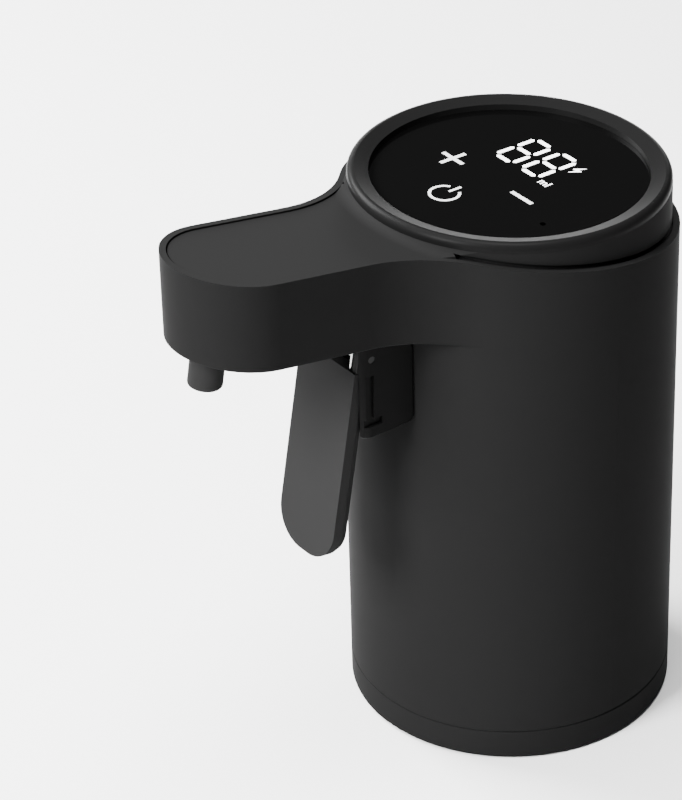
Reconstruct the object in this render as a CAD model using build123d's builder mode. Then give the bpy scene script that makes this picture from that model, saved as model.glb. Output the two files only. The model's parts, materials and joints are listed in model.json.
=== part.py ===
"""Electric wine preservation dispenser: a round body on a bottle's neck, an arm with a
nozzle, a push lever under the arm, and the pump, battery and electronics inside.

Frame: +Z up, origin on the body's axis at the foot's underside, arm along -Y.
Units: millimetres and degrees.
"""

import math
import os

from build123d import *

# ---- body and arm ------------------------------------------------------------------
body_radius = 45.0
shell_wall = 1.8
base_height = 9.2  # height of the parting line between the base ring and the shell
rim_height = 151.2  # the shell's rim plane, measured on the body's axis
head_tilt = 10.0  # slope of the rim, the arm's top and the arm's underside
arm_half_width = 18.6
arm_length = 61.6  # how far the arm's tip stands out from the round body, in plan
arm_blend = 36.0  # concave radius between the arm's sides and the body
arm_depth = 24.7  # arm top to arm underside, square to both
arm_floor = 2.0
edge_round = 0.8
hexagon_side_count = 6  # sides of a nut or of a screw's socket
pick_margin = 0.1  # half the band in which a corner of an outline is picked

# ---- cover and display -------------------------------------------------------------
cover_gap = 0.35
cover_recess = 0.35
cover_thickness = 2.2
ledge_width = 1.0
ledge_thickness = 1.6
drum_rise = 10.25  # rim to the highest edge of the display's bezel, on the body's axis
display_tilt = 1.6
drum_wall = 2.0
shadow_gap = 1.1  # height of the groove between the drum and the rim
shadow_depth = 1.3
drum_blend = 4.0  # concave radius between the drum and the arm's cover
groove_inset = 8.0  # the groove stops this far behind the body's front, where the arm begins
skirt_depth = 3.0
skirt_wall = 1.2
bezel_wall = 2.85
glass_gap = 0.1
led_gap = 0.4
key_hole_radius = 3.4
post_radius = 2.2
post_inset = 4.0
post_count = 3
post_start = 30.0  # angle of the first post, from +X
small_screw_radius = 0.9
small_head_radius = 1.8
small_head_height = 1.0
touch_spring_radius = 2.6
touch_spring_wall = 0.5
bezel_height = 2.7
bezel_fall = 1.1  # how far the bezel slopes down to the glass
bezel_round = 1.9
bezel_width = 5.85
glass_thickness = 2.0
glass_sink = 1.55
deck_thickness = 1.5  # plate under the glass
digit_centre = (-0.2, 11.2)
key_centres = ((-15.8, -6.6), (12.0, -5.8), (-1.9, -20.3))
board_thickness = 1.6
display_board_inset = 4.0
display_board_drop = 2.8  # plate under the glass to the display's board
led_size = (30.0, 17.0)

# ---- base, neck socket and stopper -------------------------------------------------
base_floor = 2.9
base_lift = 0.3  # the base's plastic stays this far off the surface
base_lip = 2.0  # ring between the base's opening and the foot
foot_width = 8.1
foot_inset = 1.4
foot_thickness = 1.3
spigot_height = 3.4
spigot_wall = 1.5
spigot_gap = 0.1
screw_inset = 5.0
screw_count = 4
screw_start = 45.0  # angle of the first screw, from +X
boss_radius = 3.4
boss_height = 16.0
screw_radius = 1.25
screw_head_radius = 2.4
screw_head_height = 1.6
screw_grip = 0.6  # share of a boss's height that its screw fills
socket_share = 0.8  # hexagon socket's corner radius over the screw's radius
socket_sink = 0.6  # hexagon socket's depth over the head's height
socket_radius = 16.5
socket_wall = 2.0
socket_cone_top = 38.0
socket_deck_height = 62.0
socket_deck_thickness = 2.5
socket_flange = 2.4
rib_count = 6
rib_thickness = 1.6
rib_depth = 12.0
stopper_radius = 9.3
stopper_length = 22.0
stopper_flange_radius = 14.5
stopper_flange = 3.0
stopper_taper = 1.0
air_port_reach = 10.0
adapter_radius = 4.6
adapter_collar_radius = 7.5
adapter_collar = 3.0
adapter_stem = 9.0  # how far the adapter's stem stands over its collar
wine_channel_radius = 1.6
port_radius = 3.0  # push-in ports that hold the hoses' ends

# ---- pick-up tube ------------------------------------------------------------------
tube_wall = 0.4
tube_clearance = 0.05
outer_tube_radius = 3.3
tube_low_end = 12.0
stage_step = 1.5  # each stage starts this much lower than the one around it
tip_radius = 3.1
tip_length = 2.5

# ---- nozzle ------------------------------------------------------------------------
nozzle_setback = 12.6  # arm's tip to the nozzle
nozzle_radius = 4.6
nozzle_length = 11.0
nozzle_bore = 3.0
nozzle_round = 1.3
nozzle_neck_radius = 3.9
nut_radius = 6.6
nut_height = 3.2
seal_thickness = 0.8
elbow_height = 8.6
elbow_port_length = 6.0

# ---- lever and its housing ---------------------------------------------------------
lever_stand = 10.2  # body's wall to the paddle's front, along the arm's slope
lever_top = 10.5  # arm underside to the paddle's top edge
lever_length = 57.4
lever_width = 23.5
lever_thickness = 4.6
lever_corner = 10.0
lever_back_inset = 0.6
lever_back_depth = 1.8
lever_arm_width = 2.1
lever_arm_root = 9.0  # how far the lever's arms run down the paddle's rear
hinge_setback = 3.0  # front of the paddle to the hinge axis
hinge_rise = 4.8  # paddle's top edge to the hinge axis
hinge_barrel = 2.4
pin_radius = 1.0
pin_clearance = 0.04
pin_seat = 1.7  # how far each end of the pin goes into an ear
housing_width = 28.0
housing_depth = 14.9  # body's wall to the front of the ears
housing_drop = 44.9  # rim on the axis to the housing's underside
housing_corner = 3.0
housing_top_round = 6.5
housing_low_round = 2.0
housing_edge = 1.2
housing_gap = 0.05
ear_gap = 0.45
recess_depth = 6.3  # front of the ears to the recess's back wall
window_low = 3.7  # housing's underside to the side windows
window_height = 15.5
window_depth = 0.5
window_step = 3.3  # front of the ears to the upright grooves
slot_length = 6.3  # the lower groove, from the front of the ears
slot_height = 2.2
switch_gap = 0.1
plunger_travel = 1.8
pad_thickness = 2.0
crank_lift = 0.3
pump_port_offset = 5.0
pump_port_height = 4.0
pump_screw_spread = 17.0
air_hose_rise = 11.0
check_valve_length = 11.0
chip_place = (-8.0, 6.0)
driver_places = ((9.0, 10.0), (9.0, -2.0))
driver_size = (6.3, 4.5)
plug_places = ((-10.0, -12.0), (10.0, -15.0))
capacitor_places = ((0.0, -8.0), (15.0, 20.0))
chip_side = 9.0
chip_height = 1.4
plug_size = (9.0, 5.0, 6.0)
capacitor_radius = 3.0
capacitor_height = 8.0
usb_wall = 0.35
groove_width = 1.0
groove_depth = 0.9
spring_wire = 0.7
spring_radius = 1.9
spring_turns = 16
spring_pitch = 1.03
spring_leg_wire = 0.69  # the straight legs are a trace thinner than the coil
spring_leg_seat = 2.5  # how far the spring's leg goes into the paddle's top edge

# ---- switch ------------------------------------------------------------------------
switch_size = (12.8, 5.8, 6.5)
switch_drop = 39.2  # rim on the axis to the plunger's axis
plunger_radius = 1.2
plunger_clearance = 0.05
plunger_length = 5.0
plunger_proud = 3.0
nub_gap = 0.25
nub_radius = 2.2

# ---- pump, battery, boards and hoses -------------------------------------------------
pump_inset = 25.0  # body's wall to the pump's axis, across
pump_back = 17.0  # body's axis to the pump's axis, towards the rear
motor_radius = 12.2
motor_length = 27.0
motor_shaft_radius = 1.0
crank_radius = 5.0
crank_height = 3.0
crank_offset = 1.5
pump_head_size = 25.0
pump_head_height = 15.0
cell_radius = 9.2
cell_length = 65.0
cell_centres = ((21.5, 17.5), (28.0, -4.0))
cell_gap = 0.15
holder_wall = 1.6
holder_height = 22.0
main_board_size = (42.0, 52.0)
board_inset = 14.0  # body's wall to the main board's front
rail_length = 6.0
rail_wall = 1.5
rail_height = 6.0
hose_radius = 2.4
bend_share = 0.45  # a bend may use this share of the shorter run beside it
hose_rise = 30.0
hose_lean = 8.0
hose_climb = 21.0
hose_bend_reach = 26.0
air_hose_radius = 1.8
usb_size = (9.0, 7.3, 3.2)
usb_back = 1.0  # the socket's rear wall
usb_tongue = (6.9, 0.64)
usb_height = 21.0
usb_gap = 0.3
charge_board_size = (16.0, 12.0)
charge_post_inset = 6.0
charge_post_spread = 12.0
charge_board_overhang = 2.7  # posts' centres to the board's outer edge
charge_post_radius = 1.5
housing_screw_spread = 18.0
housing_screw_drop = 32.2  # rim on the axis to the screws
housing_screw_radius = 1.1
housing_screw_length = 11.0
pad_height = 4.0  # body's wall to the inner face of the pads for the housing's screws
pad_radius = 3.0
wire_slot = 3.0
valve_size = (16.0, 15.0, 13.0)
valve_stand = 21.0  # body's wall to the pinch valve, along the arm's slope

os.makedirs("parts", exist_ok=True)

# ---- derived places ----------------------------------------------------------------
slope_cos = math.cos(math.radians(head_tilt))
slope_sin = math.sin(math.radians(head_tilt))
bore_radius = body_radius - shell_wall
drum_radius = bore_radius - cover_gap
drum_height = rim_height + drum_rise
arm_reach = body_radius + arm_length
nozzle_reach = arm_reach - nozzle_setback
foot_outer_radius = body_radius - foot_inset
foot_inner_radius = foot_outer_radius - foot_width
base_opening_radius = foot_inner_radius - base_lip
screw_circle_radius = body_radius - screw_inset
glass_radius = drum_radius - bezel_width
bezel_foot_radius = drum_radius - bezel_wall
display_board_radius = glass_radius - display_board_inset
post_circle_radius = display_board_radius - post_inset
lever_face = body_radius + lever_stand
housing_front = body_radius + housing_depth
housing_bottom = rim_height - housing_drop
recess_back = housing_front - recess_depth
switch_height = rim_height - switch_drop
housing_screw_height = rim_height - housing_screw_drop
pad_reach = body_radius - pad_height
charge_post_reach = body_radius - charge_post_inset
main_board_front = body_radius - board_inset
valve_reach = body_radius + valve_stand
pump_centre = (pump_inset - body_radius, pump_back)
deck_top = socket_deck_height + socket_deck_thickness
stopper_top = socket_deck_height - stopper_flange
clear_height = rim_height + arm_reach  # safely above every cut
cover_seat = -(cover_recess + cover_thickness)
rim_low = rim_height - body_radius * math.tan(math.radians(head_tilt))
bore_top = rim_low + (cover_seat - ledge_thickness) / slope_cos
glass_top = -(bezel_fall + glass_sink)
glass_seat = glass_top - glass_thickness
deck_under = glass_seat - deck_thickness
display_board_top = deck_under - display_board_drop
spigot_radius = bore_radius - spigot_gap
base_top_of_floor = base_lift + base_floor
charge_board_top = usb_height - usb_size[2] / 2


def head_point(along, up):
    """Point in the arm's middle plane: along its slope from the axis, and up square to it."""
    return (0, -along * slope_cos + up * slope_sin, rim_height + along * slope_sin + up * slope_cos)


def head_plane(up, along=0.0):
    """Plane parallel to the arm's top. Its x is the row's X, its y points to the body."""
    return Plane(head_point(along, up), x_dir=(1, 0, 0), z_dir=(0, slope_sin, slope_cos))


def arm_front_plane(along):
    """Plane square to the arm's slope, facing the arm's tip, with its y up the plane."""
    return Plane(head_point(along, 0), x_dir=(1, 0, 0), z_dir=(0, -slope_cos, slope_sin))


def display_plane(up):
    """Plane parallel to the display, `up` above the bezel's highest edge."""
    tilt = math.radians(display_tilt)
    normal = Vector(0, math.sin(tilt), math.cos(tilt))
    return Plane(Vector(0, 0, drum_height) + normal * up, x_dir=(1, 0, 0), z_dir=normal)


def head_outline(inset):
    """Plan of the round body and the arm, with the concave blends, inset by a wall."""
    with BuildSketch() as outline:
        Circle(body_radius)
        with Locations((0, -(arm_reach - arm_half_width) / 2)):
            Rectangle(2 * arm_half_width, arm_reach - arm_half_width)
        with Locations((0, -(arm_reach - arm_half_width))):
            Circle(arm_half_width)
        meeting = -math.sqrt(body_radius**2 - arm_half_width**2)
        corners = outline.vertices().filter_by_position(Axis.Y, meeting - pick_margin, meeting + pick_margin)
        fillet(corners, arm_blend)
        if inset:
            offset(amount=-inset)
    return outline.sketch


def head_slab(inset, low, high):
    """The head's plan between two planes parallel to the arm's top."""
    with BuildPart() as slab:
        with BuildSketch(Plane.XY):
            add(head_outline(inset))
        extrude(amount=clear_height)
        split(bisect_by=head_plane(low), keep=Keep.TOP)
        split(bisect_by=head_plane(high), keep=Keep.BOTTOM)
    return slab.part


def write(builder, label):
    """Labels a finished piece and writes it to its own file."""
    builder.part.label = label
    export_step(builder.part, f"parts/{label}.step")


hinge_along = lever_face - hinge_setback
hinge_up = hinge_rise - (arm_depth + lever_top)
hinge = Vector(*head_point(hinge_along, hinge_up))
ear_inside = lever_width / 2 + ear_gap

# ---- foot ring ---------------------------------------------------------------------
with BuildPart() as foot_ring:
    with BuildSketch(Plane.XY):
        Circle(foot_outer_radius - cover_gap)
        Circle(foot_inner_radius + cover_gap, mode=Mode.SUBTRACT)
    extrude(amount=foot_thickness)
write(foot_ring, "foot_ring")

# ---- base ring ---------------------------------------------------------------------
screw_places = PolarLocations(screw_circle_radius, screw_count, start_angle=screw_start)
with BuildPart() as base_ring:
    with BuildSketch(Plane.XZ):
        with BuildLine():
            Polyline(
                (base_opening_radius, base_lift),
                (foot_inner_radius, base_lift),
                (foot_inner_radius, foot_thickness),
                (foot_outer_radius, foot_thickness),
                (foot_outer_radius, base_lift),
                (body_radius, base_lift),
                (body_radius, base_height),
                (spigot_radius, base_height),
                (spigot_radius, base_height + spigot_height),
                (spigot_radius - spigot_wall, base_height + spigot_height),
                (spigot_radius - spigot_wall, base_top_of_floor),
                (base_opening_radius, base_top_of_floor),
                close=True,
            )
        make_face()
    revolve(axis=Axis.Z)
    outer_edges = base_ring.edges().filter_by(GeomType.CIRCLE).sort_by(SortBy.RADIUS)[-2:]
    fillet(outer_edges.sort_by(Axis.Z)[0], edge_round)
    chamfer(outer_edges.sort_by(Axis.Z)[-1], edge_round / 2)
    with BuildSketch(Plane.XY.offset(foot_thickness)):
        with screw_places:
            Circle(boss_radius)
        Circle(spigot_radius, mode=Mode.INTERSECT)
    extrude(amount=base_height + spigot_height - foot_thickness)
    with BuildSketch(Plane.XY):
        with screw_places:
            Circle(screw_radius + spigot_gap)
    extrude(amount=clear_height, mode=Mode.SUBTRACT)
    with BuildSketch(Plane.XY):
        with screw_places:
            Circle(screw_head_radius + spigot_gap)
    extrude(amount=foot_thickness + screw_head_height, mode=Mode.SUBTRACT)
    with BuildSketch(Plane.XY.offset(base_top_of_floor)):
        with Locations((0, charge_post_reach)):
            with GridLocations(charge_post_spread, 1, 2, 1):
                Circle(charge_post_radius)
    extrude(amount=charge_board_top - board_thickness - base_top_of_floor)
write(base_ring, "base_ring")

# ---- base screws -------------------------------------------------------------------
with BuildPart() as base_screws:
    screw_tip = base_height + spigot_height + boss_height * screw_grip
    with BuildSketch(Plane.XY.offset(foot_thickness)):
        with screw_places:
            Circle(screw_head_radius)
    extrude(amount=screw_head_height)
    with BuildSketch(Plane.XY.offset(foot_thickness)):
        with screw_places:
            Circle(screw_radius)
    extrude(amount=screw_tip - foot_thickness)
    with BuildSketch(Plane.XY.offset(foot_thickness)):
        with screw_places:
            RegularPolygon(screw_radius * socket_share, hexagon_side_count)
    extrude(amount=screw_head_height * socket_sink, mode=Mode.SUBTRACT)
write(base_screws, "base_screws")

# ---- body shell --------------------------------------------------------------------
housing_screw_places = Locations(
    (-housing_screw_spread / 2, housing_screw_height), (housing_screw_spread / 2, housing_screw_height)
)
with BuildPart() as body_shell:
    add(head_slab(0, -arm_depth, 0))
    underside = body_shell.faces().sort_by(Axis.Z)[0]
    fillet(underside.edges().filter_by_position(Axis.Y, -2 * arm_reach, -body_radius), edge_round)
    with BuildSketch(Plane.XY.offset(base_height)):
        Circle(body_radius)
    extrude(amount=rim_low - edge_round - base_height)
    chamfer(body_shell.edges().group_by(Axis.Z)[0], edge_round / 3)
    add(head_slab(shell_wall, arm_floor - arm_depth, cover_seat - ledge_thickness), mode=Mode.SUBTRACT)
    add(head_slab(shell_wall + ledge_width, cover_seat - 2 * ledge_thickness, 1), mode=Mode.SUBTRACT)
    add(head_slab(shell_wall, cover_seat, 1), mode=Mode.SUBTRACT)
    with BuildSketch(Plane.XY.offset(base_height)):
        Circle(bore_radius)
    extrude(amount=bore_top - base_height, mode=Mode.SUBTRACT)
    with BuildSketch(Plane.XY.offset(base_height + spigot_height)):
        with screw_places:
            Circle(boss_radius)
        Circle(body_radius - shell_wall / 2, mode=Mode.INTERSECT)
    extrude(amount=boss_height)
    with BuildSketch(Plane.XY.offset(base_height)):
        with screw_places:
            Circle(screw_radius)
    extrude(amount=boss_height + spigot_height, mode=Mode.SUBTRACT)
    with BuildSketch(head_plane(0, nozzle_reach)):
        Circle(nozzle_neck_radius + pin_clearance)
    extrude(amount=-2 * arm_depth, mode=Mode.SUBTRACT)
    with BuildSketch(Plane.XZ.offset(-body_radius)):
        with Locations((0, usb_height)):
            RectangleRounded(usb_size[0] + 2 * usb_gap, usb_size[2] + 2 * usb_gap, usb_size[2] / 2)
    extrude(amount=2 * shell_wall, mode=Mode.SUBTRACT)
    with BuildSketch(Plane.XZ.offset(pad_reach)):
        with housing_screw_places:
            Circle(pad_radius)
    extrude(amount=body_radius - pad_reach - shell_wall)
    with BuildSketch(Plane.XZ.offset(pad_reach)):
        with housing_screw_places:
            Circle(housing_screw_radius + pin_clearance)
        with Locations((0, switch_height)):
            SlotOverall(switch_size[0] / 2, wire_slot)
    extrude(amount=body_radius - pad_reach, mode=Mode.SUBTRACT)
write(body_shell, "body_shell")

# ---- top cover: arm plate and display drum -----------------------------------------
display_screw_places = PolarLocations(post_circle_radius, post_count, start_angle=post_start)
with BuildPart() as drum_hollow:
    with BuildSketch(Plane.XY):
        Circle(drum_radius - drum_wall)
    extrude(amount=clear_height)
    split(bisect_by=display_plane(deck_under), keep=Keep.BOTTOM)

with BuildPart() as shadow_groove:
    with BuildSketch(Plane.XY):
        Circle(body_radius)
        Circle(drum_radius - shadow_depth, mode=Mode.SUBTRACT)
        with Locations((0, groove_inset - 2 * body_radius)):
            Rectangle(2 * body_radius, 2 * body_radius, mode=Mode.SUBTRACT)
    extrude(amount=clear_height)
    split(bisect_by=head_plane(-cover_recess), keep=Keep.TOP)
    split(bisect_by=head_plane(shadow_gap), keep=Keep.BOTTOM)

with BuildPart() as cover_skirt:
    skirt_inset = shell_wall + ledge_width + cover_gap
    add(head_slab(skirt_inset, cover_seat - skirt_depth, cover_seat))
    add(head_slab(skirt_inset + skirt_wall, cover_seat - skirt_depth, cover_seat), mode=Mode.SUBTRACT)

with BuildPart() as top_cover:
    with BuildSketch(Plane.XY):
        Circle(drum_radius)
    extrude(amount=clear_height)
    split(bisect_by=head_plane(cover_seat), keep=Keep.TOP)
    split(bisect_by=display_plane(-bezel_height), keep=Keep.BOTTOM)
    with BuildSketch(head_plane(cover_seat)):
        Rectangle(4 * body_radius, 4 * arm_reach)
    extrude(amount=cover_thickness)
    seam = top_cover.edges().filter_by(GeomType.ELLIPSE).sort_by(Axis.Z)
    fillet(seam.filter_by_position(Axis.Z, rim_low, rim_height + edge_round)[-1], drum_blend)
    with BuildSketch(Plane.XY):
        add(head_outline(shell_wall + cover_gap))
    extrude(amount=clear_height, mode=Mode.INTERSECT)
    add(shadow_groove.part, mode=Mode.SUBTRACT)
    add(cover_skirt.part)
    add(drum_hollow.part, mode=Mode.SUBTRACT)
    with BuildSketch(display_plane(glass_seat)):
        Circle(bezel_foot_radius)
    extrude(amount=bezel_height - glass_seat, mode=Mode.SUBTRACT)
    with BuildSketch(display_plane(deck_under)):
        with Locations(digit_centre):
            Rectangle(led_size[0] + 2 * led_gap, led_size[1] + 2 * led_gap)
        with Locations(*key_centres):
            Circle(key_hole_radius)
    extrude(amount=deck_thickness, mode=Mode.SUBTRACT)
    with BuildSketch(display_plane(display_board_top)):
        with display_screw_places:
            Circle(post_radius)
    extrude(amount=display_board_drop)
write(top_cover, "top_cover")

# ---- bezel ring and display glass --------------------------------------------------
bezel_inner = glass_radius + glass_gap
tilt_normal = display_plane(0).z_dir
bezel_section = Plane(display_plane(0).origin, x_dir=(1, 0, 0), z_dir=Vector(1, 0, 0).cross(tilt_normal))
with BuildPart() as bezel_ring:
    with BuildSketch(bezel_section):
        with BuildLine():
            Polyline(
                (drum_radius - bezel_round, 0),
                (bezel_inner, -bezel_fall),
                (bezel_inner, glass_seat),
                (bezel_foot_radius - glass_gap, glass_seat),
                (bezel_foot_radius - glass_gap, -bezel_height),
                (drum_radius, -bezel_height),
                (drum_radius, -bezel_round),
            )
            TangentArc((drum_radius, -bezel_round), (drum_radius - bezel_round, 0), tangent=(0, 1))
        make_face()
    revolve(axis=Axis(display_plane(0).origin, tilt_normal))
write(bezel_ring, "bezel_ring")

with BuildPart() as display_glass:
    with BuildSketch(display_plane(glass_seat)):
        Circle(glass_radius)
    extrude(amount=glass_thickness)
write(display_glass, "display_glass")

# ---- display board with digits and touch springs -------------------------------------
with BuildPart() as display_board:
    with BuildSketch(display_plane(display_board_top)):
        Circle(display_board_radius)
        with display_screw_places:
            Circle(small_screw_radius, mode=Mode.SUBTRACT)
    extrude(amount=-board_thickness)
write(display_board, "display_board")

with BuildPart() as digit_module:
    with BuildSketch(display_plane(display_board_top)):
        with Locations(digit_centre):
            Rectangle(*led_size)
    extrude(amount=display_board_drop + deck_thickness - glass_gap)
write(digit_module, "digit_module")

with BuildPart() as touch_springs:
    with BuildSketch(display_plane(display_board_top)):
        with Locations(*key_centres):
            Circle(touch_spring_radius)
            Circle(touch_spring_radius - touch_spring_wall, mode=Mode.SUBTRACT)
    extrude(amount=display_board_drop + deck_thickness)
write(touch_springs, "touch_springs")

with BuildPart() as display_screws:
    with BuildSketch(display_plane(display_board_top - board_thickness)):
        with display_screw_places:
            Circle(small_head_radius)
    extrude(amount=-small_head_height)
    with BuildSketch(display_plane(display_board_top - board_thickness)):
        with display_screw_places:
            Circle(small_screw_radius)
    extrude(amount=board_thickness)
write(display_screws, "display_screws")

# ---- neck socket: cone, sleeve, deck and ribs ----------------------------------------
board_middle = -main_board_front + board_thickness / 2
rail_places = Locations((-main_board_size[0] / 2, board_middle), (main_board_size[0] / 2, board_middle))
with BuildPart() as neck_socket:
    with BuildSketch(Plane.XZ):
        with BuildLine():
            Polyline(
                (base_opening_radius, base_top_of_floor),
                (socket_radius, socket_cone_top),
                (socket_radius, socket_deck_height),
                (adapter_radius + pin_clearance, socket_deck_height),
                (adapter_radius + pin_clearance, deck_top),
                (bore_radius - cover_gap, deck_top),
                (bore_radius - cover_gap, socket_deck_height),
                (socket_radius + socket_wall, socket_deck_height),
                (socket_radius + socket_wall, socket_cone_top + socket_wall / 2),
                (base_opening_radius + socket_wall / 2, base_top_of_floor + socket_flange),
                (base_opening_radius + socket_flange, base_top_of_floor + socket_flange),
                (base_opening_radius + socket_flange, base_top_of_floor),
                close=True,
            )
        make_face()
    revolve(axis=Axis.Z)
    with BuildSketch(Plane.XZ):
        with BuildLine():
            Polyline(
                (socket_radius + socket_wall / 2, socket_deck_height),
                (bore_radius - socket_wall, socket_deck_height),
                (socket_radius + socket_wall / 2, socket_deck_height - rib_depth),
                close=True,
            )
        make_face()
    rib = extrude(amount=rib_thickness / 2, both=True, mode=Mode.PRIVATE)
    with PolarLocations(0, rib_count):
        add(rib)
    with BuildSketch(Plane.XY.offset(deck_top)):
        with rail_places:
            Rectangle(rail_length, board_thickness + 2 * rail_wall + 2 * glass_gap)
    extrude(amount=rail_height)
    with BuildSketch(Plane.XY.offset(deck_top)):
        with Locations((0, board_middle)):
            Rectangle(main_board_size[0] + 2 * glass_gap, board_thickness + 2 * glass_gap)
    extrude(amount=rail_height, mode=Mode.SUBTRACT)
write(neck_socket, "neck_socket")

# ---- stopper and tube adapter --------------------------------------------------------
with BuildPart() as bottle_stopper:
    with BuildSketch(Plane.XZ):
        with BuildLine():
            Polyline(
                (adapter_radius, stopper_top - stopper_length),
                (stopper_radius - stopper_taper, stopper_top - stopper_length),
                (stopper_radius, stopper_top - stopper_length + 2 * stopper_taper),
                (stopper_radius, stopper_top),
                (stopper_flange_radius, stopper_top),
                (stopper_flange_radius, socket_deck_height),
                (adapter_radius, socket_deck_height),
                close=True,
            )
        make_face()
    revolve(axis=Axis.Z)
write(bottle_stopper, "bottle_stopper")

collar_top = deck_top + adapter_collar
tube_top = deck_top - adapter_collar
air_port_height = collar_top + adapter_stem / 2
with BuildPart() as tube_adapter:
    with BuildSketch(Plane.XY.offset(stopper_top - stopper_length)):
        Circle(adapter_radius)
    extrude(amount=deck_top - stopper_top + stopper_length)
    with BuildSketch(Plane.XY.offset(deck_top)):
        Circle(adapter_collar_radius)
    extrude(amount=adapter_collar)
    with BuildSketch(Plane.XY.offset(collar_top)):
        Circle(adapter_radius)
    extrude(amount=adapter_stem)
    with BuildSketch(Plane.YZ):
        with Locations((0, air_port_height)):
            Circle(port_radius)
    extrude(amount=-air_port_reach)
    with BuildSketch(Plane.XY.offset(stopper_top - stopper_length)):
        Circle(outer_tube_radius)
    extrude(amount=tube_top - stopper_top + stopper_length, mode=Mode.SUBTRACT)
    with BuildSketch(Plane.XY.offset(tube_top)):
        Circle(wine_channel_radius)
    extrude(amount=collar_top + adapter_stem - tube_top, mode=Mode.SUBTRACT)
write(tube_adapter, "tube_adapter")

# ---- telescopic pick-up tube -----------------------------------------------------------
stage_radius = [outer_tube_radius - stage * (tube_wall + tube_clearance) for stage in range(3)]
with BuildPart() as outer_tube:
    with BuildSketch(Plane.XY.offset(tube_low_end)):
        Circle(stage_radius[0])
        Circle(stage_radius[0] - tube_wall, mode=Mode.SUBTRACT)
    extrude(amount=tube_top - tube_low_end)
write(outer_tube, "pickup_tube_outer")

with BuildPart() as middle_tube:
    with BuildSketch(Plane.XY.offset(tube_low_end - stage_step)):
        Circle(stage_radius[1])
        Circle(stage_radius[1] - tube_wall, mode=Mode.SUBTRACT)
    extrude(amount=tube_top - tube_low_end)
write(middle_tube, "pickup_tube_middle")

with BuildPart() as inner_tube:
    with BuildSketch(Plane.XY.offset(tube_low_end - 2 * stage_step)):
        Circle(stage_radius[2])
        Circle(stage_radius[2] - tube_wall, mode=Mode.SUBTRACT)
    extrude(amount=tube_top - tube_low_end)
    with BuildSketch(Plane.XY.offset(tube_low_end - 2 * stage_step - tip_length)):
        Circle(tip_radius)
        Circle(stage_radius[2] - tube_wall, mode=Mode.SUBTRACT)
    extrude(amount=tip_length)
write(inner_tube, "pickup_tube_inner")

# ---- nozzle, its nut, seal and elbow ---------------------------------------------------
nozzle_axis = Axis(head_point(nozzle_reach, 0), (0, slope_sin, slope_cos))
floor_up = arm_floor - arm_depth
nut_up = floor_up + seal_thickness
neck_top = nut_up + nut_height + edge_round
with BuildPart() as nozzle:
    with BuildSketch(arm_front_plane(nozzle_reach)):
        with BuildLine():
            Polyline(
                (nozzle_radius, nozzle_round - arm_depth - nozzle_length),
                (nozzle_radius, -arm_depth),
                (nozzle_neck_radius, -arm_depth),
                (nozzle_neck_radius, neck_top),
                (nozzle_bore, neck_top),
                (nozzle_bore, -arm_depth - nozzle_length),
                (nozzle_radius - nozzle_round, -arm_depth - nozzle_length),
            )
            TangentArc(
                (nozzle_radius - nozzle_round, -arm_depth - nozzle_length),
                (nozzle_radius, nozzle_round - arm_depth - nozzle_length),
                tangent=(1, 0),
            )
        make_face()
    revolve(axis=nozzle_axis)
write(nozzle, "nozzle")

with BuildPart() as nozzle_seal:
    with BuildSketch(head_plane(floor_up, nozzle_reach)):
        Circle(nut_radius - edge_round)
        Circle(nozzle_neck_radius, mode=Mode.SUBTRACT)
    extrude(amount=seal_thickness)
write(nozzle_seal, "nozzle_seal")

with BuildPart() as nozzle_nut:
    with BuildSketch(head_plane(nut_up, nozzle_reach)):
        RegularPolygon(nut_radius, hexagon_side_count)
        Circle(nozzle_neck_radius, mode=Mode.SUBTRACT)
    extrude(amount=nut_height)
write(nozzle_nut, "nozzle_nut")

port_up = neck_top + elbow_height / 2
with BuildPart() as nozzle_elbow:
    with BuildSketch(head_plane(neck_top, nozzle_reach)):
        Circle(nozzle_neck_radius + edge_round)
    extrude(amount=elbow_height)
    fillet(nozzle_elbow.edges().sort_by(Axis.Z)[-1], edge_round)
    with BuildSketch(arm_front_plane(nozzle_reach)):
        with Locations((0, port_up)):
            Circle(port_radius)
    extrude(amount=-(nozzle_neck_radius + elbow_port_length))
write(nozzle_elbow, "nozzle_elbow")

# ---- pinch valve on the wine hose -------------------------------------------------------
with BuildPart() as pinch_valve:
    with BuildSketch(arm_front_plane(valve_reach - valve_size[1] / 2)):
        with Locations((0, floor_up + valve_size[2] / 2)):
            Rectangle(valve_size[0], valve_size[2])
        with Locations((0, port_up)):
            Circle(hose_radius + pin_clearance, mode=Mode.SUBTRACT)
    extrude(amount=valve_size[1])
write(pinch_valve, "pinch_valve")

# ---- wine hose: adapter to nozzle -------------------------------------------------------
hose_start = Vector(0, 0, collar_top + adapter_stem)
hose_end = Vector(*head_point(nozzle_reach - nozzle_neck_radius - elbow_port_length, port_up))
hose_route = [
    hose_start,
    Vector(0, 0, hose_start.Z + hose_rise),
    Vector(0, -hose_lean, hose_start.Z + hose_rise + hose_climb),
    Vector(*head_point(hose_bend_reach, port_up)),
    hose_end,
]


def route_radii(route):
    """Arc radius at each inner point of a hose's route: as large as its two runs allow."""
    radii = []
    for before, here, after in zip(route, route[1:], route[2:]):
        half_turn = math.radians((here - before).get_angle(after - here)) / 2
        shorter = min((here - before).length, (after - here).length)
        radii.append(bend_share * shorter / math.tan(half_turn))
    return radii


def hose(route, radius):
    """Plain round hose along straight runs joined by tangent arcs."""
    bends = route_radii(route)
    print("bend radii", [round(bend, 1) for bend in bends])
    with BuildPart() as tube:
        with BuildLine() as path:
            FilletPolyline(*route, radius=bends)
        with BuildSketch(Plane(route[0], z_dir=route[1] - route[0])):
            Circle(radius)
        sweep(path=path.line)
    return tube


wine_hose = hose(hose_route, hose_radius)
write(wine_hose, "wine_hose")

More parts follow.
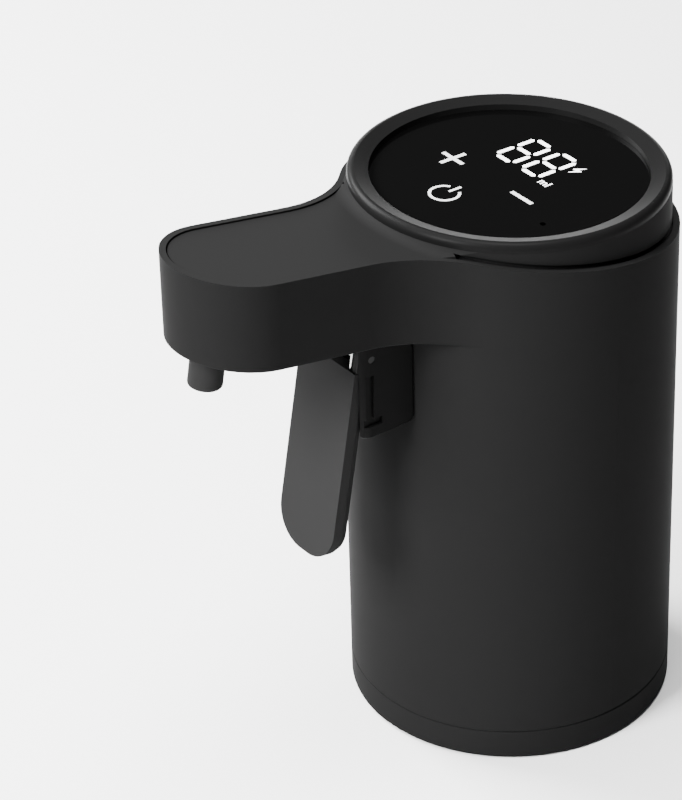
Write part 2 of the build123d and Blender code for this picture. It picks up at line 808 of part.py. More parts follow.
# ---- lever housing under the arm ---------------------------------------------------------
switch_back = recess_back - switch_size[1]
housing_rear = math.sqrt(body_radius**2 - housing_width**2 / 4)
with BuildPart() as lever_housing:
    with BuildSketch(Plane.XY.offset(housing_bottom)):
        with Locations((0, -housing_front)):
            Rectangle(housing_width, housing_front - housing_rear, align=(Align.CENTER, Align.MIN))
        fillet(vertices().group_by(Axis.Y)[0], housing_corner)
    extrude(amount=arm_reach)
    split(bisect_by=head_plane(-arm_depth), keep=Keep.BOTTOM)
    rear_rows = lever_housing.faces().sort_by(Axis.Y)[-1].edges().group_by(Axis.Z)
    fillet(rear_rows[-1], housing_top_round)
    fillet(lever_housing.faces().sort_by(Axis.Y)[-1].edges().group_by(Axis.Z)[0], housing_low_round)
    rear_edges = lever_housing.edges().filter_by_position(
        Axis.Y, -housing_rear - housing_top_round, -housing_rear + edge_round
    )
    fillet(rear_edges.group_by(Axis.X)[0] + rear_edges.group_by(Axis.X)[-1], housing_edge)
    with BuildSketch(Plane.XY):
        Circle(body_radius + housing_gap)
    extrude(amount=clear_height, mode=Mode.SUBTRACT)
    with BuildSketch(Plane.XZ.offset(recess_back)):
        with Locations((0, clear_height / 2)):
            Rectangle(2 * ear_inside, clear_height)
    extrude(amount=2 * (housing_front - recess_back), mode=Mode.SUBTRACT)
    with BuildSketch(Plane.XZ.offset(switch_back)):
        with Locations((0, switch_height)):
            Rectangle(switch_size[0] + 2 * switch_gap, switch_size[2] + 2 * switch_gap)
    extrude(amount=switch_size[1], mode=Mode.SUBTRACT)
    with BuildSketch(Plane.XZ.offset(pad_reach)):
        with housing_screw_places:
            Circle(housing_screw_radius)
    extrude(amount=housing_screw_length, mode=Mode.SUBTRACT)
    with BuildSketch(Plane.YZ.offset(-housing_width / 2)):
        with Locations((hinge.Y, hinge.Z)):
            Circle(pin_radius)
    extrude(amount=housing_width, mode=Mode.SUBTRACT)
    for side in (-1, 1):
        with BuildSketch(Plane.YZ.offset(side * housing_width / 2)):
            with Locations((-housing_front, housing_bottom + window_low)):
                Rectangle(window_step, window_height, align=Align.MIN)
        extrude(amount=-side * window_depth, mode=Mode.SUBTRACT)
        with BuildSketch(Plane.YZ.offset(side * housing_width / 2)):
            with Locations((-housing_front + window_step - groove_width / 2, housing_bottom + window_low)):
                Rectangle(groove_width, window_height, align=Align.MIN)
            with Locations((-housing_front, housing_bottom + window_low)):
                Rectangle(slot_length, slot_height, align=Align.MIN)
        extrude(amount=-side * groove_depth, mode=Mode.SUBTRACT)
write(lever_housing, "lever_housing")

with BuildPart() as housing_screws:
    with BuildSketch(Plane.XZ.offset(pad_reach)):
        with housing_screw_places:
            Circle(housing_screw_radius)
    extrude(amount=housing_screw_length)
    with BuildSketch(Plane.XZ.offset(pad_reach)):
        with housing_screw_places:
            Circle(screw_head_radius)
    extrude(amount=-screw_head_height)
    with BuildSketch(Plane.XZ.offset(pad_reach - screw_head_height)):
        with housing_screw_places:
            RegularPolygon(housing_screw_radius, hexagon_side_count)
    extrude(amount=screw_head_height * socket_sink, mode=Mode.SUBTRACT)
write(housing_screws, "housing_screws")

# ---- push lever, its pin and its spring ---------------------------------------------------
nub_reach = recess_back + plunger_proud + nub_gap
lever_up = -(arm_depth + lever_top)
lever_middle = lever_up - lever_length / 2
arm_root = Vector(*head_point(lever_face - lever_thickness / 2, lever_up - lever_arm_root))
leg_along = hinge_along + spring_radius
coil_length = (spring_turns + 0.25) * spring_pitch
with BuildPart() as lever:
    with BuildSketch(arm_front_plane(lever_face)):
        with Locations((0, lever_middle)):
            Rectangle(lever_width, lever_length)
        fillet(vertices().group_by(Axis.Y)[0], lever_corner)
    extrude(amount=-lever_thickness)
    rear = lever.faces().filter_by(Axis(hinge, (0, slope_cos, -slope_sin))).sort_by(Axis.Y)[-1]
    chamfer(rear.edges(), lever_back_inset, lever_back_depth, reference=rear)
    for side in (-1, 1):
        with BuildSketch(Plane.YZ.offset(side * lever_width / 2)):
            with Locations((hinge.Y, hinge.Z)):
                Circle(hinge_barrel)
            with Locations((arm_root.Y, arm_root.Z)):
                Circle(lever_thickness / 2 - lever_back_inset)
            make_hull()
        extrude(amount=-side * lever_arm_width)
    with BuildSketch(Plane.XZ.offset(nub_reach)):
        with Locations((0, switch_height)):
            Circle(nub_radius)
    extrude(amount=lever_thickness)
    with BuildSketch(head_plane(lever_up, leg_along)):
        with Locations((coil_length / 2, 0)):
            Circle(spring_wire / 2 + pin_clearance)
    extrude(amount=-spring_leg_seat - spring_wire / 2, mode=Mode.SUBTRACT)
    with BuildSketch(Plane.YZ.offset(-lever_width / 2)):
        with Locations((hinge.Y, hinge.Z)):
            Circle(pin_radius + pin_clearance)
    extrude(amount=lever_width, mode=Mode.SUBTRACT)
write(lever, "lever")

with BuildPart() as lever_pin:
    with BuildSketch(Plane.YZ.offset(-ear_inside - pin_seat)):
        with Locations((hinge.Y, hinge.Z)):
            Circle(pin_radius)
    extrude(amount=2 * (ear_inside + pin_seat))
write(lever_pin, "lever_pin")

coil_start = Plane(hinge - Vector(coil_length / 2, 0, 0), x_dir=(0, slope_sin, slope_cos), z_dir=(1, 0, 0))
with BuildPart() as lever_spring:
    with BuildLine() as coil:
        add(coil_start * Helix(spring_pitch, coil_length, spring_radius, mode=Mode.PRIVATE))
    with BuildSketch(Plane(coil.line @ 0, z_dir=coil.line % 0)):
        Circle(spring_wire / 2)
    sweep(path=coil.line, is_frenet=True)
    wall_run = (hinge.Y + spring_radius * slope_sin + recess_back) / -slope_cos
    with BuildSketch(Plane(coil.line @ 0, z_dir=(0, slope_cos, -slope_sin))):
        Circle(spring_leg_wire / 2)
    extrude(amount=wall_run - spring_wire / 2)
    with BuildSketch(Plane(coil.line @ 1, z_dir=(0, -slope_sin, -slope_cos))):
        Circle(spring_leg_wire / 2)
    extrude(amount=hinge_rise + spring_leg_seat)
write(lever_spring, "lever_spring")

# ---- switch behind the lever ----------------------------------------------------------------
plunger_tip = recess_back + plunger_proud
with BuildPart() as switch_body:
    with BuildSketch(Plane.XZ.offset(switch_back)):
        with Locations((0, switch_height)):
            Rectangle(switch_size[0], switch_size[2])
    extrude(amount=switch_size[1])
    with BuildSketch(Plane.XZ.offset(plunger_tip - plunger_length - plunger_travel)):
        with Locations((0, switch_height)):
            Circle(plunger_radius + plunger_clearance)
    extrude(amount=plunger_length, mode=Mode.SUBTRACT)
write(switch_body, "switch_body")

with BuildPart() as switch_plunger:
    with BuildSketch(Plane.XZ.offset(plunger_tip - plunger_length)):
        with Locations((0, switch_height)):
            Circle(plunger_radius)
    extrude(amount=plunger_length)
    fillet(switch_plunger.edges().group_by(Axis.Y)[0], plunger_radius / 2)
write(switch_plunger, "switch_plunger")

# ---- air pump: pad, motor, head, eccentric ---------------------------------------------------
motor_foot = deck_top + pad_thickness
motor_top = motor_foot + motor_length
head_top = motor_top + pump_head_height
pump_axis = Locations(pump_centre)
with BuildPart() as pump_pad:
    with BuildSketch(Plane.XY.offset(deck_top)):
        with pump_axis:
            Circle(motor_radius)
    extrude(amount=pad_thickness)
write(pump_pad, "pump_pad")

with BuildPart() as pump_motor:
    with BuildSketch(Plane.XY.offset(motor_foot)):
        with pump_axis:
            Circle(motor_radius)
    extrude(amount=motor_length)
    fillet(pump_motor.edges().sort_by(Axis.Z)[0], edge_round)
    with BuildSketch(Plane.XY.offset(motor_top)):
        with pump_axis:
            Circle(motor_shaft_radius)
    extrude(amount=crank_height + 3 * crank_lift)
write(pump_motor, "pump_motor")

with BuildPart() as pump_eccentric:
    with BuildSketch(Plane.XY.offset(motor_top + crank_lift)):
        with Locations((pump_centre[0] + crank_offset, pump_centre[1])):
            Circle(crank_radius)
        with pump_axis:
            Circle(motor_shaft_radius + pin_clearance, mode=Mode.SUBTRACT)
    extrude(amount=crank_height)
write(pump_eccentric, "pump_eccentric")

with BuildPart() as pump_head:
    with BuildSketch(Plane.XY.offset(motor_top)):
        with pump_axis:
            RectangleRounded(pump_head_size, pump_head_size, pump_head_size / 4)
            Circle(crank_radius + crank_offset + 2 * crank_lift, mode=Mode.SUBTRACT)
    extrude(amount=crank_height + 4 * crank_lift)
    with BuildSketch(Plane.XY.offset(motor_top + crank_height + 4 * crank_lift)):
        with pump_axis:
            RectangleRounded(pump_head_size, pump_head_size, pump_head_size / 4)
    extrude(amount=pump_head_height - crank_height - 4 * crank_lift)
    fillet(pump_head.faces().sort_by(Axis.Z)[-1].edges(), edge_round)
    with BuildSketch(Plane.XY.offset(head_top)):
        with pump_axis:
            with Locations((0, -pump_port_offset), (0, pump_port_offset)):
                Circle(port_radius)
    extrude(amount=pump_port_height)
    with BuildSketch(Plane.XY.offset(head_top)):
        with pump_axis:
            with GridLocations(pump_screw_spread, pump_screw_spread, 2, 2):
                Circle(housing_screw_radius)
    extrude(amount=-housing_screw_length, mode=Mode.SUBTRACT)
write(pump_head, "pump_head")

with BuildPart() as pump_screws:
    with BuildSketch(Plane.XY.offset(head_top)):
        with pump_axis:
            with GridLocations(pump_screw_spread, pump_screw_spread, 2, 2):
                Circle(housing_screw_radius)
    extrude(amount=-housing_screw_length)
    with BuildSketch(Plane.XY.offset(head_top)):
        with pump_axis:
            with GridLocations(pump_screw_spread, pump_screw_spread, 2, 2):
                Circle(screw_head_radius)
    extrude(amount=screw_head_height)
write(pump_screws, "pump_screws")

# ---- air hoses and check valve ----------------------------------------------------------------
air_x = -air_port_reach
valve_low = motor_foot + motor_length / 2
run_x = pump_centre[0]
hose_peak = head_top + pump_port_height + air_hose_rise
port_y = pump_centre[1] - pump_port_offset
low_route = [
    Vector(air_x, 0, air_port_height),
    Vector(run_x, 0, air_port_height),
    Vector(run_x, 0, valve_low),
]
high_route = [
    Vector(run_x, 0, valve_low + check_valve_length),
    Vector(run_x, 0, hose_peak),
    Vector(run_x, port_y, hose_peak),
    Vector(run_x, port_y, head_top + pump_port_height),
]
with BuildPart() as air_hoses:
    add(hose(low_route, air_hose_radius).part)
    add(hose(high_route, air_hose_radius).part)
write(air_hoses, "air_hoses")

with BuildPart() as check_valve:
    with BuildSketch(Plane.XY.offset(valve_low)):
        with Locations((run_x, 0)):
            Circle(port_radius)
    extrude(amount=check_valve_length)
    with BuildSketch(Plane.XY.offset(valve_low + check_valve_length / 3)):
        with Locations((run_x, 0)):
            Circle(port_radius + edge_round)
    extrude(amount=check_valve_length / 3)
write(check_valve, "check_valve")

# ---- battery cells in their holder --------------------------------------------------------------
cell_foot = deck_top + holder_wall
with BuildPart() as battery_cells:
    with BuildSketch(Plane.XY.offset(cell_foot)):
        with Locations(*cell_centres):
            Circle(cell_radius)
    extrude(amount=cell_length)
    fillet(battery_cells.edges().filter_by(GeomType.CIRCLE), edge_round)
write(battery_cells, "battery_cells")

with BuildPart() as battery_holder:
    with BuildSketch(Plane.XY.offset(deck_top)):
        with Locations(*cell_centres):
            Circle(cell_radius + cell_gap + holder_wall)
        make_hull()
    extrude(amount=holder_height)
    with BuildSketch(Plane.XY.offset(cell_foot)):
        with Locations(*cell_centres):
            Circle(cell_radius + cell_gap)
    extrude(amount=holder_height, mode=Mode.SUBTRACT)
write(battery_holder, "battery_holder")

# ---- main board with its parts -------------------------------------------------------------------
board_plane = Plane.XZ.offset(main_board_front - board_thickness)
board_centre_height = deck_top + main_board_size[1] / 2
with BuildPart() as main_board:
    with BuildSketch(board_plane):
        with Locations((0, board_centre_height)):
            Rectangle(*main_board_size)
    extrude(amount=board_thickness)
write(main_board, "main_board")

with BuildPart() as board_parts:
    with BuildSketch(board_plane):
        with Locations((0, board_centre_height)):
            with Locations(chip_place):
                Rectangle(chip_side, chip_side)
            with Locations(*driver_places):
                Rectangle(*driver_size)
    extrude(amount=-chip_height)
    with BuildSketch(board_plane):
        with Locations((0, board_centre_height)):
            with Locations(*plug_places):
                Rectangle(plug_size[0], plug_size[1])
    extrude(amount=-plug_size[2])
    with BuildSketch(board_plane):
        with Locations((0, board_centre_height)):
            with Locations(*capacitor_places):
                Circle(capacitor_radius)
    extrude(amount=-capacitor_height)
write(board_parts, "board_parts")

# ---- charging socket and its board -----------------------------------------------------------------
charge_board_end = charge_post_reach + charge_board_overhang
with BuildPart() as charge_board:
    with BuildSketch(Plane.XY.offset(charge_board_top)):
        with Locations((0, charge_board_end)):
            Rectangle(*charge_board_size, align=(Align.CENTER, Align.MAX))
    extrude(amount=-board_thickness)
write(charge_board, "charge_board")

with BuildPart() as usb_socket:
    with BuildSketch(Plane.XZ.offset(usb_gap - bore_radius)):
        with Locations((0, usb_height)):
            RectangleRounded(usb_size[0], usb_size[2], usb_size[2] / 2 - usb_wall)
    extrude(amount=usb_size[1])
    with BuildSketch(Plane.XZ.offset(usb_gap - bore_radius)):
        with Locations((0, usb_height)):
            RectangleRounded(usb_size[0] - 2 * usb_wall, usb_size[2] - 2 * usb_wall, usb_size[2] / 4)
    extrude(amount=usb_size[1] - usb_back, mode=Mode.SUBTRACT)
    with BuildSketch(Plane.XZ.offset(usb_gap + usb_back - bore_radius)):
        with Locations((0, usb_height)):
            Rectangle(*usb_tongue)
    extrude(amount=usb_size[1] - usb_back)
write(usb_socket, "usb_socket")
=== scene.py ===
# %% [markdown]
# # A wine preservation dispenser, dressed for the camera
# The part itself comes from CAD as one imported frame: every rigid piece is already in
# place, in metres. This script gives those pieces their real finishes, and adds what a
# printer and a lamp add: the lit symbols on the display's glass. The object is an
# electric pourer that sits on a bottle's neck.

import json
import math

import bpy
from mathutils import Matrix, Vector


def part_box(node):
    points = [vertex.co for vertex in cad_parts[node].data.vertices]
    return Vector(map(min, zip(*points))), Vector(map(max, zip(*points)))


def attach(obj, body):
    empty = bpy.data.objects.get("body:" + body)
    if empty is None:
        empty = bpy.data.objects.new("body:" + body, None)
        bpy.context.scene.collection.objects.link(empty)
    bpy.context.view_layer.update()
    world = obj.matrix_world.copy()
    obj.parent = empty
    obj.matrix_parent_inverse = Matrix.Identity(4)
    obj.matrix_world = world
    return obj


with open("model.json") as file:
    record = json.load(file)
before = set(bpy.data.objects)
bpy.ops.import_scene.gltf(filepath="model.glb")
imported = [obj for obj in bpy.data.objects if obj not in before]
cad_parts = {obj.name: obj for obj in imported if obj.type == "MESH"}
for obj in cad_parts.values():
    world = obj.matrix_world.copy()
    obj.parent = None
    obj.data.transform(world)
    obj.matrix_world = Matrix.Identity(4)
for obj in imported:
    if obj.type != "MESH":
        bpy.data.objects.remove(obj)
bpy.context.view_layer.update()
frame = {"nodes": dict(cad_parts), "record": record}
record = frame["record"]

# %% [markdown]
# ## Colours and shader nodes
# Screens show sRGB, and a shader works in linear light, so each hex colour passes through
# one function. One small helper adds any shader node with its settings and its links,
# which keeps every material short enough to read from top to bottom.

# %% Colour and node helpers
MM = 0.001


def linear(hex_colour):
    """sRGB hex to linear RGBA."""
    parts = [int(hex_colour[i : i + 2], 16) / 255 for i in (1, 3, 5)]
    return [c / 12.92 if c <= 0.04045 else ((c + 0.055) / 1.055) ** 2.4 for c in parts] + [1.0]


def add_node(tree, kind, settings=None, links=None):
    """Adds a shader node; settings are attributes or input values, links are input: socket."""
    node = tree.nodes.new(kind)
    for key, value in (settings or {}).items():
        if hasattr(node, key):
            setattr(node, key, value)
        else:
            node.inputs[key].default_value = value
    for key, socket in (links or {}).items():
        tree.links.new(socket, node.inputs[key])
    return node


def new_material(name, colour, roughness, **sockets):
    """A plain Principled material, returned with its tree and shader."""
    material = bpy.data.materials.new(name)
    material.use_nodes = True
    shader = material.node_tree.nodes["Principled BSDF"]
    shader.inputs["Base Color"].default_value = linear(colour)
    shader.inputs["Roughness"].default_value = roughness
    for key, value in sockets.items():
        shader.inputs[key.replace("_", " ")].default_value = value
    return material, material.node_tree, shader


print("mid grey in linear light:", round(linear("#808080")[0], 3))

# %% [markdown]
# ## Spark-eroded ABS
# The body is moulded in ABS. Its mould is finished by spark erosion, which leaves pits a
# few hundredths of a millimetre across. They are too fine to see one by one, and turn the
# gloss into a soft sheen. The pattern is drawn at 0.25 mm, as coarse as it needs to show.
# Real ABS has an index of refraction of about 1.5. Seen from above, its walls would mirror
# the pale floor and turn grey, so the index was lowered to 1.03, until the black
# was as deep as on the real object. That is a choice of looks and no property of ABS.
# A noise texture was chosen over a painted one, because it has no seam on any piece.

# %% Moulded plastics
roughness_spread = 0.04
grain_detail = 2.0
grain_strength = 0.25
pitted_ior = 1.03


def moulded(name, colour, roughness, grain_mm, depth_mm, skin_ior=pitted_ior):
    """ABS from an eroded mould: a fine grain in the roughness and a slight bump."""
    material, tree, shader = new_material(name, colour, roughness, IOR=skin_ior)
    place = add_node(tree, "ShaderNodeTexCoord")
    grain = add_node(
        tree,
        "ShaderNodeTexNoise",
        {"Scale": 1 / (grain_mm * MM), "Detail": grain_detail},
        {"Vector": place.outputs["Object"]},
    )
    spread = add_node(
        tree,
        "ShaderNodeMapRange",
        {"To Min": roughness - roughness_spread, "To Max": roughness + roughness_spread},
        {"Value": grain.outputs["Fac"]},
    )
    bump = add_node(
        tree,
        "ShaderNodeBump",
        {"Strength": grain_strength, "Distance": depth_mm * MM},
        {"Height": grain.outputs["Fac"]},
    )
    tree.links.new(spread.outputs["Result"], shader.inputs["Roughness"])
    tree.links.new(bump.outputs["Normal"], shader.inputs["Normal"])
    return material


# Eroded ABS: a black without a mirror image, which shades softly round the barrel.
body_abs = moulded("spark_eroded_abs", "#181818", 0.5, 0.25, 0.012)
# The ring's mould was polished further, so its slope can mirror a lamp as a soft line.
bezel_abs = moulded("polished_bezel_abs", "#111111", 0.36, 0.25, 0.004, skin_ior=1.08)
# The paddle is a shade lighter than the body and as satin.
lever_abs = moulded("satin_lever_abs", "#212121", 0.46, 0.25, 0.010)
# The housing is the darkest plastic, with a little gloss along its edges.
housing_abs = moulded("black_housing_abs", "#0d0d0d", 0.4, 0.25, 0.006, skin_ior=1.07)
# Inner pieces have a coarser grain, because nobody looks at their moulds.
inner_abs = moulded("plain_inner_abs", "#1d1d1e", 0.55, 0.4, 0.015)
# Acetal without a dye is an off-white, slightly waxy plastic.
white_pom = moulded("natural_acetal", "#dcdbd4", 0.4, 0.3, 0.008)
print("moulded plastics:", len(bpy.data.materials))

# %% [markdown]
# ## Back-printed glass, silicone, steel and the rest
# The display's cover is clear glass printed black on its underside, so the eye meets one
# sharp reflection over a deep black. Silicone is cloudy and soft. Steel keeps the metal's
# default IOR. A circuit board is green lacquer over copper, and the cells wear a shrunk
# sleeve. None of them has a pattern that could be seen from a metre away, so each is one
# plain shader.

# %% Other finishes
# Clear glass over black print: a sharp reflection and no colour.
display_glass, _, _ = new_material("back_printed_glass", "#040404", 0.08, IOR=1.45)
# Moulded rubber: matt, a dull charcoal.
foot_rubber, _, _ = new_material("moulded_foot_rubber", "#141414", 0.8, IOR=1.5)
# Silicone rubber without a dye: milky, with a soft shine.
silicone, _, _ = new_material("cloudy_silicone", "#c9c8c2", 0.35, IOR=1.41)
# Stainless wire and screws, drawn through a die: bright, with a blurred reflection.
steel, _, _ = new_material("drawn_stainless_steel", "#b4b4b2", 0.28, Metallic=1.0)
# Phosphated steel: a dark grey skin on the lever's pin.
black_steel, _, _ = new_material("phosphated_steel", "#232323", 0.45, Metallic=1.0)
# Solder mask: a glossy dark green lacquer.
circuit_board, _, _ = new_material("green_solder_mask", "#0c3d22", 0.35, IOR=1.5)
# Epoxy round a chip: satin black.
component_epoxy, _, _ = new_material("moulded_epoxy", "#1a1a1c", 0.45, IOR=1.5)
# Shrunk PVC: a glossy blue sleeve.
cell_wrap, _, _ = new_material("pvc_shrink_sleeve", "#1d3f73", 0.3, IOR=1.5)
print("finishes:", len(bpy.data.materials))

# %% [markdown]
# ## One finish per piece
# The record names a material slot for each piece, so most finishes are given by slot. The
# lever's housing and its pin share a slot with other pieces, but look different on the
# real object, so they are named one by one.

# %% Finishes on the pieces
slot_finish = {
    "black_plastic": body_abs,
    "bezel_plastic": bezel_abs,
    "lever_plastic": lever_abs,
    "display_glass": display_glass,
    "foot_rubber": foot_rubber,
    "silicone": silicone,
    "steel": steel,
    "inner_plastic": inner_abs,
    "white_plastic": white_pom,
    "circuit_board": circuit_board,
    "electronics": component_epoxy,
    "cell_wrap": cell_wrap,
}
special_finish = {"lever_housing": housing_abs, "lever_pin": black_steel}
slot_of = {entry["node"]: entry["material_slot"] for entry in record["subparts"]}
for node_name, node in frame["nodes"].items():
    finish = special_finish.get(node_name, slot_finish[slot_of[node_name]])
    node.data.materials.clear()
    node.data.materials.append(finish)
print("finished nodes:", len(slot_of))

# %% [markdown]
# ## Working in the object's own frame
# A primitive is added at its size and place and shaped in edit mode. Everything is
# deselected first, because an operator acts on all that is selected. At the end the
# object's place is applied to its mesh, so that the piece sits at the origin.


# %% Modelling helpers
def deselect_all():
    """Nothing selected, and Object mode."""
    if bpy.context.object and bpy.context.object.mode != "OBJECT":
        bpy.ops.object.mode_set(mode="OBJECT")
    bpy.ops.object.select_all(action="DESELECT")


def finish_piece(piece, name, material, body):
    """Names a piece, applies its place, gives it its finish and lets it ride on a body."""
    deselect_all()
    piece.select_set(True)
    bpy.context.view_layer.objects.active = piece
    bpy.ops.object.transform_apply(location=True, rotation=True, scale=True)
    piece.name = name
    piece.data.name = name
    piece.data.materials.clear()
    piece.data.materials.append(material)
    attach(piece, body)
    print(name, "has", len(piece.data.polygons), "faces")


def joined(pieces):
    """Several new meshes made one."""
    deselect_all()
    for piece in pieces:
        piece.select_set(True)
    bpy.context.view_layer.objects.active = pieces[0]
    bpy.ops.object.join()
    return bpy.context.object


# %% [markdown]
# ## The display's plane
# The glass leans back by 1.6 degrees, so what lies on it is placed by two numbers: how far
# to the reader's right and how far towards the back, in millimetres from the body's axis.
# Height and lean then follow from the glass. The alternative, a parent object that is
# tilted, would leave the marks with a place of their own, and a piece has to sit at the
# origin.

# %% The display's plane
glass_low, glass_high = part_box("display_glass")
display_tilt = math.radians(1.6)
display_normal = Vector((0, math.sin(display_tilt), math.cos(display_tilt)))
display_turn = Matrix.Rotation(-display_tilt, 3, "X")
glass_thick = 2.0 * MM
glass_centre = Vector((0, 0, (glass_low[2] + glass_high[2]) / 2))
glass_top_point = glass_centre + display_normal * glass_thick / 2
tile_lift = 0.03 * MM
tile_thick = 0.05 * MM


def on_display(x_mm, y_mm, lift=tile_lift):
    """Place on the display plane, x to the right of the reader and y towards the back."""
    flat = Vector((x_mm * MM, y_mm * MM, 0))
    return glass_top_point + display_turn @ flat + display_normal * lift


print("glass top on the axis, mm:", round(glass_top_point.z / MM, 2))

# %% [markdown]
# ## A lit window as a thin tile
# On the real object light comes through gaps in the black print. Cutting the glass would
# change a finished piece, so each gap is drawn the other way round, as a tile of glowing
# film 0.05 mm thick on the glass. A circle with as many corners as the outline is added,
# its corners are moved to the outline, and one extrusion gives it its thickness.


# %% Tiles
def tile(outline_mm, centre_mm):
    """A thin flat tile with this outline, laid on the glass."""
    deselect_all()
    bpy.ops.mesh.primitive_circle_add(vertices=len(outline_mm), radius=MM, fill_type="NGON")
    piece = bpy.context.object
    for vertex, (x, y) in zip(piece.data.vertices, outline_mm):
        vertex.co = (x * MM, y * MM, 0)
    bpy.ops.object.mode_set(mode="EDIT")
    bpy.ops.mesh.select_all(action="SELECT")
    bpy.ops.mesh.extrude_region_move(TRANSFORM_OT_translate={"value": (0, 0, tile_thick)})
    bpy.ops.mesh.select_all(action="SELECT")
    bpy.ops.mesh.normals_make_consistent(inside=False)
    bpy.ops.object.mode_set(mode="OBJECT")
    piece.rotation_euler = (-display_tilt, 0, 0)
    piece.location = on_display(*centre_mm)
    return piece


def repeated_tiles(outline_mm, centres_mm):
    """One tile modelled once and copied to every other place, each copy with its own mesh."""
    tiles = [tile(outline_mm, centres_mm[0])]
    for centre_mm in centres_mm[1:]:
        twin = tiles[0].copy()
        twin.data = tiles[0].data.copy()
        bpy.context.collection.objects.link(twin)
        twin.location = on_display(*centre_mm)
        tiles.append(twin)
    return tiles


print("tile thickness, mm:", tile_thick / MM)

# %% [markdown]
# ## Seven-segment digits
# Each digit is seven bars with cut corners: three lie level and four stand upright. The
# level bars are shorter, so that a dark gap parts them from the upright ones. A light
# guide makes them shine evenly, which one emission strength over the whole bar gives.

# %% Seven-segment digits
lit_digit, _, _ = new_material(
    "lit_digit_window", "#ffffff", 0.4, Emission_Color=linear("#ffffff"), Emission_Strength=2.2
)
segment_length = 5.6
segment_gap = 0.6
segment_width = 1.3
corner_cut = 0.75  # of half the bar's width
tip_share = 0.25  # of half the bar's width, left flat at each end
digit_width = 6.65
digit_height = 13.9
digit_centres = [(-7.75, 11.0), (2.4, 11.35)]


def segment_outline(length):
    """A bar with cut corners, lying along x."""
    half, side = length / 2, segment_width / 2
    cut, tip = side * corner_cut, side * tip_share
    return [
        (-half, -tip), (-half + cut, -side), (half - cut, -side), (half, -tip),
        (half, tip), (half - cut, side), (-half + cut, side), (-half, tip),
    ]


level_outline = segment_outline(segment_length - segment_gap)
level_centres = [(x, y + row * digit_height / 2) for x, y in digit_centres for row in (-1, 0, 1)]
upright_outline = [(-y, x) for x, y in segment_outline(segment_length)]
upright_centres = [
    (x + side * digit_width / 2, y + row * digit_height / 4)
    for x, y in digit_centres
    for side in (-1, 1)
    for row in (-1, 1)
]
segments = repeated_tiles(level_outline, level_centres) + repeated_tiles(upright_outline, upright_centres)
print("digit segments:", len(segments))
finish_piece(joined(segments), "display_digits", lit_digit, "body")

# %% [markdown]
# ## Charge mark and unit
# Right of the digits shine a small bolt, which tells that the cells are charging, and the
# unit of volume under it. The bolt is one outline. The unit is text that is turned into a
# mesh, because letters drawn by hand would never be as even.

# %% Charge mark
bolt_outline = [(0.9, 2.6), (-1.35, -0.35), (-0.1, -0.35), (-0.75, -2.6), (1.35, 0.45), (0.1, 0.45)]
charge_mark = tile(bolt_outline, (9.1, 15.4))
finish_piece(charge_mark, "charge_mark", lit_digit, "body")

# %% Unit
unit_height = 3.8
unit_centre = (9.4, 2.85)
deselect_all()
bpy.ops.object.text_add()
unit_text = bpy.context.object
unit_text.data.body = "ml"
unit_text.data.size = unit_height * MM
unit_text.data.align_x = "CENTER"
unit_text.data.extrude = tile_thick / 2
unit_text.rotation_euler = (-display_tilt, 0, 0)
unit_text.location = on_display(*unit_centre, tile_lift + tile_thick / 2)
bpy.ops.object.convert(target="MESH")
finish_piece(bpy.context.object, "unit_mark", lit_digit, "body")

# %% [markdown]
# ## Touch symbols
# The minus, plus and power symbols sit over the springs that feel a finger. They shine
# weaker than the digits, because one small lamp lights them through white film. The power
# symbol's ring is one outline that runs out along the outer arc and back along the inner
# one, which needs no cutting.

# %% Minus and plus
lit_symbol, _, _ = new_material(
    "lit_symbol_window", "#cfcfcf", 0.4, Emission_Color=linear("#d2d2d2"), Emission_Strength=0.58
)
bar_length = 8.3
bar_width = 1.2


def bar_outline(length, width):
    """A plain rectangle along x."""
    far, near = length / 2, width / 2
    return [(-far, -near), (far, -near), (far, near), (-far, near)]


def plus_outline(length, width):
    """Two crossed bars as one outline."""
    far, near = length / 2, width / 2
    return [
        (-far, -near), (-near, -near), (-near, -far), (near, -far), (near, -near), (far, -near),
        (far, near), (near, near), (near, far), (-near, far), (-near, near), (-far, near),
    ]


minus_key = tile(bar_outline(bar_length, bar_width), (12.05, -5.8))
finish_piece(minus_key, "minus_key", lit_symbol, "body")
plus_key = tile(plus_outline(bar_length, bar_width), (-15.8, -6.6))
finish_piece(plus_key, "plus_key", lit_symbol, "body")

# %% Power
power_centre = (-1.9, -20.3)
power_radius = 3.95
power_line = 0.78
power_bar_length = 4.0
power_bar_rise = 3.5
ring_start, ring_end = 120, 420
ring_steps = 40


def arc_outline(radius, width, start, end):
    """A ring from one angle to another, as one outline."""
    turns = [math.radians(start + (end - start) * i / ring_steps) for i in range(ring_steps + 1)]
    outer, inner = radius + width / 2, radius - width / 2
    way_out = [(outer * math.cos(turn), outer * math.sin(turn)) for turn in turns]
    way_back = [(inner * math.cos(turn), inner * math.sin(turn)) for turn in reversed(turns)]
    return way_out + way_back


power_ring = tile(arc_outline(power_radius, power_line, ring_start, ring_end), power_centre)
upright_bar = [(y, x) for x, y in bar_outline(power_bar_length, power_line)][::-1]
power_bar = tile(upright_bar, (power_centre[0], power_centre[1] + power_bar_rise))
finish_piece(joined([power_ring, power_bar]), "power_key", lit_symbol, "body")
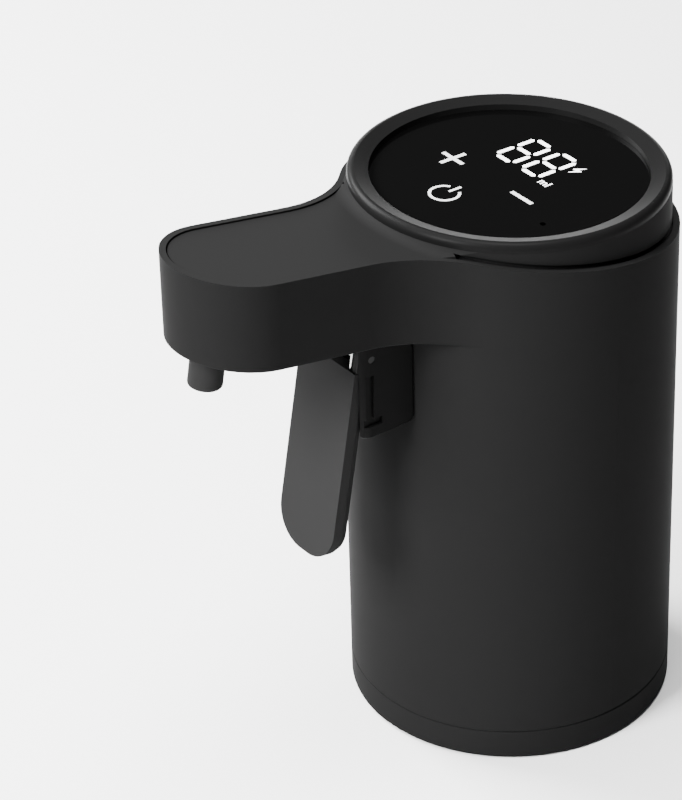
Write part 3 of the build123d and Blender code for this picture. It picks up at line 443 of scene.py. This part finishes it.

# %% [markdown]
# ## Sensor window
# Near the glass's edge a small round window is left clear for a light sensor. It shows as
# It shows as a dot that is blacker than the print: a black tile of painted shade for the dark hole behind
# the clear glass.

# %% Sensor window
# Painted shade: a black tile for the dark hole behind the clear glass, blacker than the print and with
# hardly a reflection.
sensor_painted_shade, _, _ = new_material("sensor_hole_painted_shade", "#000000", 0.08, IOR=1.05)
sensor_radius = 0.75
sensor_corners = 24
corner_turn = 2 * math.pi / sensor_corners
sensor_outline = [
    (sensor_radius * math.cos(i * corner_turn), sensor_radius * math.sin(i * corner_turn))
    for i in range(sensor_corners)
]
sensor_window = tile(sensor_outline, (26.1, -10.3))
finish_piece(sensor_window, "sensor_window", sensor_painted_shade, "body")

# %% [markdown]
# ## Floor and light
# Two soft boxes, in front and on the left, shade the barrel from grey to near black. A
# third one hangs overhead for the arm and the lid. A low strip behind the object is
# mirrored by the near slope of the display's ring, as a bright crescent beside the dark
# glass. The pale floor fills from below.

# %% Floor
deselect_all()
bpy.ops.mesh.primitive_plane_add(size=8.0, location=(0, 0, 0))
floor = bpy.context.object
floor.name = "floor"
# Matt wall paint: pale and without a shine, so that it lights the object evenly.
floor_paint, _, _ = new_material("matt_floor_paint", "#f4f4f4", 0.9)
floor.data.materials.append(floor_paint)
print("floor width, m:", floor.dimensions.x)

# %% Lights
object_middle = Vector((0, -0.03, 0.09))


def soft_box(name, azimuth, elevation, distance, width, height, power):
    """An area light that looks at the object. Azimuth 0 is the nozzle's side, 90 is +X."""
    turn, rise = math.radians(azimuth), math.radians(elevation)
    level = math.cos(rise)
    back = Vector((math.sin(turn) * level, -math.cos(turn) * level, math.sin(rise)))
    data = bpy.data.lights.new(name, "AREA")
    data.shape = "RECTANGLE"
    data.size, data.size_y, data.energy = width, height, power
    lamp = bpy.data.objects.new(name, data)
    bpy.context.collection.objects.link(lamp)
    lamp.location = object_middle + back * distance
    lamp.rotation_euler = back.to_track_quat("Z", "Y").to_euler()


soft_box("key_box", 4, 38, 0.9, 0.3, 0.4, 27)
soft_box("left_box", -75, 35, 0.9, 0.5, 0.5, 34)
soft_box("top_box", 40, 86, 1.2, 0.6, 0.6, 30)
soft_box("back_strip", 231, 3, 1.2, 0.8, 0.2, 8)

world = bpy.data.worlds.new("studio")
bpy.context.scene.world = world
world.use_nodes = True
sky = world.node_tree.nodes["Background"]
sky.inputs["Color"].default_value = linear("#ffffff")
sky.inputs["Strength"].default_value = 0.05
print("lights:", len(bpy.data.lights))

# %% [markdown]
# ## Camera
# The camera stands to the right of the nozzle and looks down by about a third of a right
# angle. A long lens keeps the barrel's sides nearly parallel. The shift moves the picture
# so that the body stands right of the middle, with room for the arm.

# %% Camera
look_down = 32.656
camera_turn = 51.127
camera_data = bpy.data.cameras.new("camera")
camera_data.sensor_width = 36
camera_data.lens = 163.9
camera_data.shift_x = -0.2092
camera_data.dof.use_dof = False
camera_data.clip_end = 20
camera = bpy.data.objects.new("camera", camera_data)
bpy.context.collection.objects.link(camera)
camera.location = (0.65067, -0.52502, 0.62427)
camera.rotation_euler = (math.radians(90 - look_down), 0, math.radians(camera_turn))
bpy.context.scene.camera = camera
print("camera height, m:", round(camera.location.z, 3))
